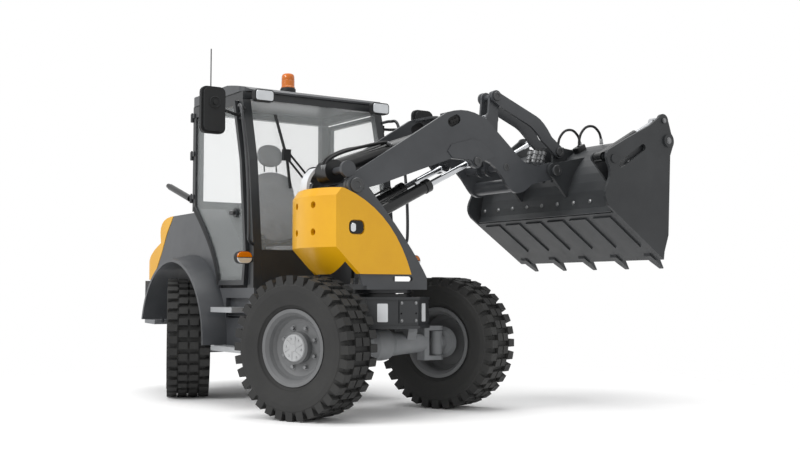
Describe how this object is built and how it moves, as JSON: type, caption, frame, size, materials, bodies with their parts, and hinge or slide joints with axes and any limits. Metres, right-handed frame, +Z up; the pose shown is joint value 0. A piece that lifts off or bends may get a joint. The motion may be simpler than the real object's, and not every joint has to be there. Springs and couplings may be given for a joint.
{
  "type": "wheel loader",
  "caption": "Compact four-wheel-steer swing loader with glazed cab, slewing boom turret, counterweight and opening clam bucket.",
  "frame": {"origin": "centre of the footprint of the whole machine, on the floor under the tyres, with the boom swung to the left", "axes": "+X forward along the machine, +Y to the machine's left, +Z up"},
  "size_m": [3.945, 3.3841, 3.04],
  "materials": {
    "grey_paint": "satin",
    "yellow_paint": "satin",
    "dark_paint": "satin",
    "tyre": "matte",
    "rim_paint": "satin",
    "glass": "gloss",
    "rod": "gloss",
    "axle": "satin",
    "plastic": "matte",
    "seat": "matte",
    "lens": "gloss",
    "amber": "gloss",
    "step": "satin",
    "cast": "satin"
  },
  "bodies": {
    "chassis": {"chassis": "dark_paint", "front_axle": "axle", "rear_axle": "axle", "engine": "cast", "body_panels": "grey_paint", "rear_counterweight": "cast", "cab_tub": "grey_paint", "cab_frame": "dark_paint", "cab_roof": "grey_paint", "cab_glass": "glass", "seat": "seat", "controls": "plastic", "steps": "step", "lamps": "lens", "beacon": "amber", "mirrors": "plastic", "exhaust": "dark_paint", "antenna": "plastic", "wiper": "plastic"},
    "hood": {"hood": "yellow_paint"},
    "door_right": {"door_right": "dark_paint", "door_right_glass": "glass"},
    "door_left": {"door_left": "dark_paint", "door_left_glass": "glass"},
    "turret": {"turret": "grey_paint", "turret_weight": "yellow_paint"},
    "boom": {"boom": "grey_paint", "tilt_barrel": "dark_paint"},
    "lift_barrels": {"lift_barrels": "dark_paint"},
    "lift_rods": {"lift_rods": "rod"},
    "tilt_rod": {"tilt_rod": "rod"},
    "tilt_lever": {"tilt_lever": "grey_paint"},
    "tilt_link": {"tilt_link": "grey_paint"},
    "bucket": {"bucket_back": "dark_paint", "clam_barrels": "dark_paint"},
    "clam": {"bucket_clam": "dark_paint"},
    "clam_rods": {"clam_rods": "rod"},
    "knuckle_fl": {"knuckle_fl": "axle"},
    "wheel_fl": {"tyre_fl": "tyre", "rim_fl": "rim_paint"},
    "knuckle_fr": {"knuckle_fr": "axle"},
    "wheel_fr": {"tyre_fr": "tyre", "rim_fr": "rim_paint"},
    "knuckle_rl": {"knuckle_rl": "axle"},
    "wheel_rl": {"tyre_rl": "tyre", "rim_rl": "rim_paint"},
    "knuckle_rr": {"knuckle_rr": "axle"},
    "wheel_rr": {"tyre_rr": "tyre", "rim_rr": "rim_paint"}
  },
  "joints": [
    {"name": "steer_fl", "type": "hinge", "parent": "chassis", "child": "knuckle_fl", "pos_m": [1.0925, -0.04962, 0.505], "axis": [0, 0, 1], "range_deg": [-60.5, 15.5]},
    {"name": "steer_fr", "type": "hinge", "parent": "chassis", "child": "knuckle_fr", "pos_m": [1.0925, -1.10462, 0.505], "axis": [0, 0, 1], "range_deg": [-60.5, 15.5]},
    {"name": "steer_rl", "type": "hinge", "parent": "chassis", "child": "knuckle_rl", "pos_m": [-0.8575, -0.04962, 0.505], "axis": [0, 0, 1], "range_deg": [-15.5, 60.5]},
    {"name": "steer_rr", "type": "hinge", "parent": "chassis", "child": "knuckle_rr", "pos_m": [-0.8575, -1.10462, 0.505], "axis": [0, 0, 1], "range_deg": [-15.5, 60.5]},
    {"name": "spin_fl", "type": "hinge", "parent": "knuckle_fl", "child": "wheel_fl", "pos_m": [1.0925, -0.04962, 0.505], "axis": [-0.3827, 0.9239, 0], "continuous": true},
    {"name": "spin_fr", "type": "hinge", "parent": "knuckle_fr", "child": "wheel_fr", "pos_m": [1.0925, -1.10462, 0.505], "axis": [-0.3827, 0.9239, 0], "continuous": true},
    {"name": "spin_rl", "type": "hinge", "parent": "knuckle_rl", "child": "wheel_rl", "pos_m": [-0.8575, -0.04962, 0.505], "axis": [0.3827, 0.9239, 0], "continuous": true},
    {"name": "spin_rr", "type": "hinge", "parent": "knuckle_rr", "child": "wheel_rr", "pos_m": [-0.8575, -1.10462, 0.505], "axis": [0.3827, 0.9239, 0], "continuous": true},
    {"name": "swing", "type": "hinge", "parent": "chassis", "child": "turret", "pos_m": [1.0925, -0.57712, 0.9], "axis": [0, 0, 1], "range_deg": [-180, 0]},
    {"name": "boom_lift", "type": "hinge", "parent": "turret", "child": "boom", "pos_m": [1.0925, -0.96412, 1.652], "axis": [1, 0, 0], "range_deg": [-25, 48]},
    {"name": "bucket_tilt", "type": "hinge", "parent": "boom", "child": "bucket", "pos_m": [1.0925, 0.92288, 1.875], "axis": [-1, 0, 0], "range_deg": [-95, 45]},
    {"name": "lift_pivot", "type": "hinge", "parent": "turret", "child": "lift_barrels", "pos_m": [1.0925, -0.87712, 1.385], "axis": [1, 0, 0], "range_deg": [-26, 49]},
    {"name": "lift_stroke", "type": "slide", "parent": "lift_barrels", "child": "lift_rods", "axis": [0, 0.8932, 0.4497], "range_m": [-0.12, 0.22]},
    {"name": "tilt_stroke", "type": "slide", "parent": "boom", "child": "tilt_rod", "axis": [0, 0.9432, 0.3323], "range_m": [-0.45, 0.22]},
    {"name": "lever_pivot", "type": "hinge", "parent": "boom", "child": "tilt_lever", "pos_m": [1.0925, 0.44488, 1.877], "axis": [-1, 0, 0], "range_deg": [-66, 32]},
    {"name": "link_pivot", "type": "hinge", "parent": "tilt_lever", "child": "tilt_link", "pos_m": [1.0925, 0.48788, 2.468], "axis": [-1, 0, 0], "range_deg": [-20, 40]},
    {"name": "clam_open", "type": "hinge", "parent": "bucket", "child": "clam", "pos_m": [1.0925, 1.61712, 2.10591], "axis": [1, 0, 0], "range_deg": [0, 50]},
    {"name": "clam_stroke", "type": "slide", "parent": "bucket", "child": "clam_rods", "axis": [0, 0.8795, 0.4759], "range_m": [-0.15, 0]},
    {"name": "door_right_hinge", "type": "hinge", "parent": "chassis", "child": "door_right", "pos_m": [-0.8125, -1.27212, 1.7], "axis": [0, 0, -1], "range_deg": [0, 100]},
    {"name": "door_left_hinge", "type": "hinge", "parent": "chassis", "child": "door_left", "pos_m": [-0.8125, 0.11788, 1.7], "axis": [0, 0, 1], "range_deg": [0, 100]},
    {"name": "hood_hinge", "type": "hinge", "parent": "chassis", "child": "hood", "pos_m": [-1.2875, -0.57712, 1.586], "axis": [0, 1, 0], "range_deg": [0, 55]}
  ],
  "couplings": [
    {"joint": "steer_fr", "follows": "steer_fl", "ratio": 1},
    {"joint": "steer_rl", "follows": "steer_fl", "ratio": -1},
    {"joint": "steer_rr", "follows": "steer_fl", "ratio": -1},
    {"joint": "lift_pivot", "follows": "boom_lift", "ratio": 0.93},
    {"joint": "lift_stroke", "follows": "boom_lift", "m_per_rad": 0.25},
    {"joint": "tilt_stroke", "follows": "bucket_tilt", "m_per_rad": 0.265},
    {"joint": "lever_pivot", "follows": "bucket_tilt", "ratio": 0.68},
    {"joint": "link_pivot", "follows": "bucket_tilt", "ratio": -0.41},
    {"joint": "clam_stroke", "follows": "clam_open", "m_per_rad": -0.1547}
  ]
}
